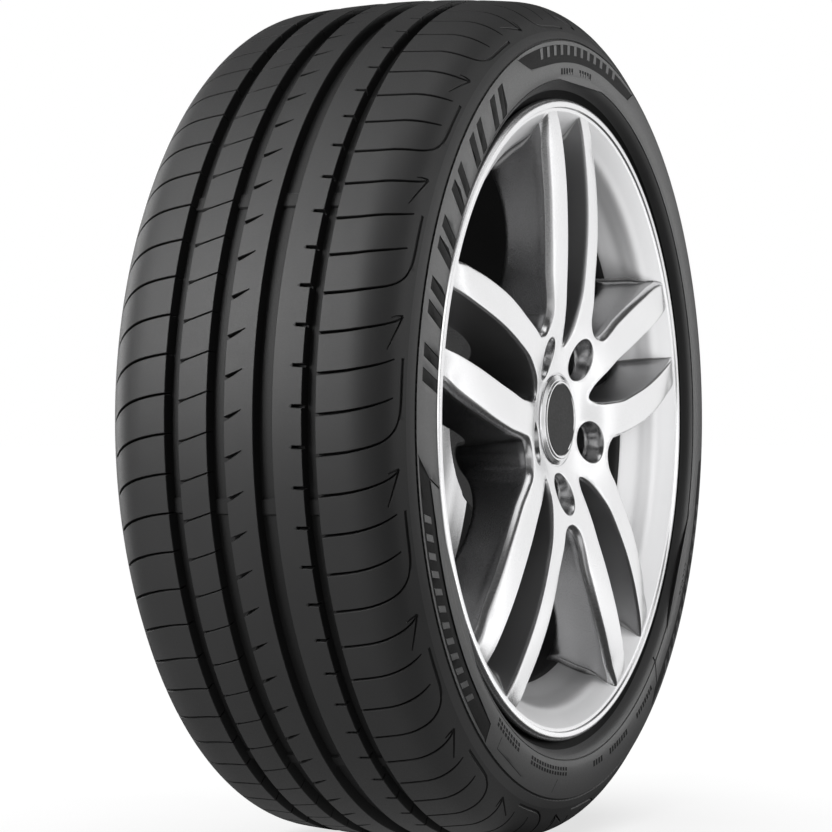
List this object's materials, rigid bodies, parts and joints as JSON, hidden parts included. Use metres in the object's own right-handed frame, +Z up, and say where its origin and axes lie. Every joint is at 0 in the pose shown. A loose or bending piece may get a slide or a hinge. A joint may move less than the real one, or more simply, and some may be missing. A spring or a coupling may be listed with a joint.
{
  "type": "car tyre on an alloy wheel",
  "caption": "Low-profile road tyre with a grooved tread, fitted on a silver cast alloy wheel with paired spokes, a centre cap and a snap-in valve, made to bolt to a car hub.",
  "frame": {"origin": "centre of the wheel, on its axis, half way between the bead flanges", "axes": "+Y along the axle towards the car, so the outer face looks along -Y; +Z up"},
  "size_m": [0.6344, 0.2384, 0.6342],
  "materials": {
    "tyre_rubber": "satin black rubber",
    "alloy_silver": "silver paint under clear coat",
    "cap_silver": "silver painted plastic",
    "cap_black": "gloss black",
    "spring_steel": "drawn wire",
    "valve_rubber": "matt black",
    "brass": "turned",
    "seal": "matt",
    "cap_plastic": "moulded black"
  },
  "bodies": {
    "wheel": {"tyre": "tyre_rubber", "alloy_wheel": "alloy_silver", "centre_cap": "cap_silver", "cap_disc": "cap_black", "cap_spring_ring": "spring_steel", "valve_body": "valve_rubber", "valve_stem": "brass", "valve_core": "brass", "valve_core_seal": "seal", "valve_spring": "spring_steel"},
    "valve_plunger": {"valve_pin": "brass"},
    "valve_dust_cap": {"valve_cap": "cap_plastic", "valve_cap_seal": "valve_rubber"}
  },
  "joints": [
    {"name": "valve_pin_press", "type": "slide", "parent": "wheel", "child": "valve_plunger", "axis": [-0.7835, 0.5669, 0.2546], "range_m": [0, 0.0012], "stiffness_N_per_m": 300, "springref_m": -0.004, "deforming": ["valve_spring"]},
    {"name": "valve_cap_off", "type": "slide", "parent": "wheel", "child": "valve_dust_cap", "axis": [0.7835, -0.5669, -0.2546], "range_m": [0, 0.012]}
  ]
}
